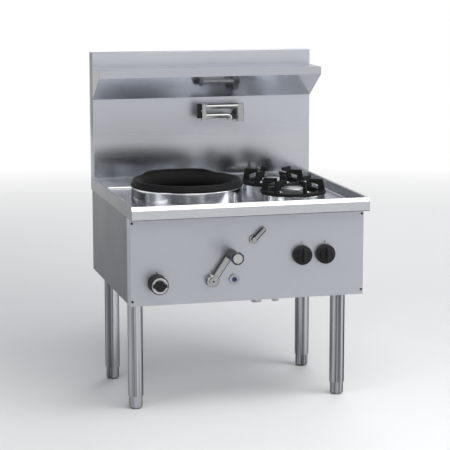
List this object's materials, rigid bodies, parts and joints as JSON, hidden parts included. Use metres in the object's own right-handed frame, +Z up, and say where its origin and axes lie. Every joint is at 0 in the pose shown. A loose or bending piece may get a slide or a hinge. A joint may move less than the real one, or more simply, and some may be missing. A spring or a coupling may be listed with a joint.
{
  "type": "wok range",
  "caption": "Free-standing stainless gas range with a recessed top, a raised wok burner, side burners with finned trivets, a knee lever and a swing tap on a shelved splashback.",
  "frame": {"origin": "centre of the whole footprint, at the floor", "axes": "+X to the cook's right, the front faces -Y, +Z up"},
  "size_m": [0.9, 0.865, 1.3],
  "materials": {
    "stainless": "brushed",
    "polished_steel": "polished",
    "cast_iron": "rough matt",
    "burner_alloy": "cast, turned on top",
    "black_plastic": "satin moulded",
    "chrome": "bright plated",
    "blue_plastic": "glossy",
    "brass": "machined",
    "pipe_steel": "drawn"
  },
  "bodies": {
    "body": {"back_panel": "stainless", "burner_bodies": "burner_alloy", "burner_bowls": "polished_steel", "burner_drums": "polished_steel", "front_panel": "stainless", "gas_inlet_pipe": "pipe_steel", "gas_jets": "brass", "gas_manifold": "pipe_steel", "gas_pipes": "pipe_steel", "gas_valves": "brass", "igniter_body": "chrome", "leg_bolts": "stainless", "leg_rails": "stainless", "legs": "stainless", "lever_flange": "chrome", "panel_screws": "stainless", "shelf": "stainless", "side_panel_left": "stainless", "side_panel_right": "stainless", "splashback": "stainless", "splashback_cover": "stainless", "tap_body": "chrome", "tap_pipe": "pipe_steel", "water_flange": "chrome", "water_inlet": "pipe_steel", "water_valve": "brass", "wok_burner": "cast_iron", "wok_chamber": "stainless", "wok_collar": "polished_steel", "wok_liner": "stainless", "wok_pilot": "brass", "worktop": "stainless"},
    "wok_ring": {"wok_ring": "cast_iron"},
    "trivet_front": {"trivet_front": "cast_iron"},
    "trivet_rear": {"trivet_rear": "cast_iron"},
    "burner_cap_front": {"burner_cap_front": "burner_alloy"},
    "burner_cap_rear": {"burner_cap_rear": "burner_alloy"},
    "wok_knob": {"wok_spindle": "pipe_steel", "wok_knob": "black_plastic", "wok_knob_face": "chrome", "wok_knob_grip": "black_plastic"},
    "side_knob_left": {"side_spindle_left": "pipe_steel", "side_knob_left": "black_plastic"},
    "side_knob_right": {"side_spindle_right": "pipe_steel", "side_knob_right": "black_plastic"},
    "knee_lever": {"lever_shaft": "pipe_steel", "knee_lever": "chrome", "lever_screw": "chrome", "lever_handle": "chrome", "lever_handle_cap": "chrome"},
    "water_lever": {"water_spindle": "pipe_steel", "water_lever": "chrome"},
    "igniter_button": {"igniter_button": "blue_plastic"},
    "tap_upper_arm": {"tap_upper_arm": "chrome"},
    "tap_lower_arm": {"tap_lower_arm": "chrome"},
    "tap_paddle": {"tap_paddle": "black_plastic"},
    "foot_front_left": {"foot_front_left": "stainless"},
    "foot_front_right": {"foot_front_right": "stainless"},
    "foot_rear_left": {"foot_rear_left": "stainless"},
    "foot_rear_right": {"foot_rear_right": "stainless"}
  },
  "joints": [
    {"name": "foot_front_left_height", "type": "slide", "parent": "body", "child": "foot_front_left", "axis": [0, 0, -1], "range_m": [0, 0.035]},
    {"name": "foot_front_right_height", "type": "slide", "parent": "body", "child": "foot_front_right", "axis": [0, 0, -1], "range_m": [0, 0.035]},
    {"name": "foot_rear_left_height", "type": "slide", "parent": "body", "child": "foot_rear_left", "axis": [0, 0, -1], "range_m": [0, 0.035]},
    {"name": "foot_rear_right_height", "type": "slide", "parent": "body", "child": "foot_rear_right", "axis": [0, 0, -1], "range_m": [0, 0.035]},
    {"name": "wok_ring_lift", "type": "slide", "parent": "body", "child": "wok_ring", "axis": [0, 0, 1], "range_m": [0, 0.06]},
    {"name": "trivet_front_lift", "type": "slide", "parent": "body", "child": "trivet_front", "axis": [0, 0, 1], "range_m": [0, 0.04]},
    {"name": "burner_cap_front_lift", "type": "slide", "parent": "body", "child": "burner_cap_front", "axis": [0, 0, 1], "range_m": [0, 0.02]},
    {"name": "trivet_rear_lift", "type": "slide", "parent": "body", "child": "trivet_rear", "axis": [0, 0, 1], "range_m": [0, 0.04]},
    {"name": "burner_cap_rear_lift", "type": "slide", "parent": "body", "child": "burner_cap_rear", "axis": [0, 0, 1], "range_m": [0, 0.02]},
    {"name": "wok_knob_turn", "type": "hinge", "parent": "body", "child": "wok_knob", "pos_m": [-0.348, -0.3125, 0.508], "axis": [0, -1, 0], "range_deg": [0, 180]},
    {"name": "side_knob_left_turn", "type": "hinge", "parent": "body", "child": "side_knob_left", "pos_m": [0.204, -0.3125, 0.587], "axis": [0, -1, 0], "range_deg": [0, 180]},
    {"name": "side_knob_right_turn", "type": "hinge", "parent": "body", "child": "side_knob_right", "pos_m": [0.294, -0.3125, 0.587], "axis": [0, -1, 0], "range_deg": [0, 180]},
    {"name": "knee_lever_swing", "type": "hinge", "parent": "body", "child": "knee_lever", "pos_m": [-0.141, -0.3125, 0.508], "axis": [0, 1, 0], "range_deg": [-34, 30]},
    {"name": "water_lever_turn", "type": "hinge", "parent": "body", "child": "water_lever", "pos_m": [0.018, -0.3125, 0.655], "axis": [0, 1, 0], "range_deg": [-45, 45]},
    {"name": "igniter_press", "type": "slide", "parent": "body", "child": "igniter_button", "axis": [0, 1, 0], "range_m": [0, 0.004], "stiffness_N_per_m": 600, "springref_m": -0.004},
    {"name": "tap_upper_swing", "type": "hinge", "parent": "body", "child": "tap_upper_arm", "pos_m": [0.141, 0.3225, 1.082], "axis": [0, 0, 1], "range_deg": [0, 135]},
    {"name": "tap_lower_swing", "type": "hinge", "parent": "tap_upper_arm", "child": "tap_lower_arm", "pos_m": [-0.0075, 0.3225, 1.045], "axis": [0, 0, 1], "range_deg": [-90, 0]},
    {"name": "tap_paddle_turn", "type": "hinge", "parent": "tap_lower_arm", "child": "tap_paddle", "pos_m": [-0.0285, 0.3225, 1.0655], "axis": [1, 0, 0], "range_deg": [0, 90]}
  ]
}
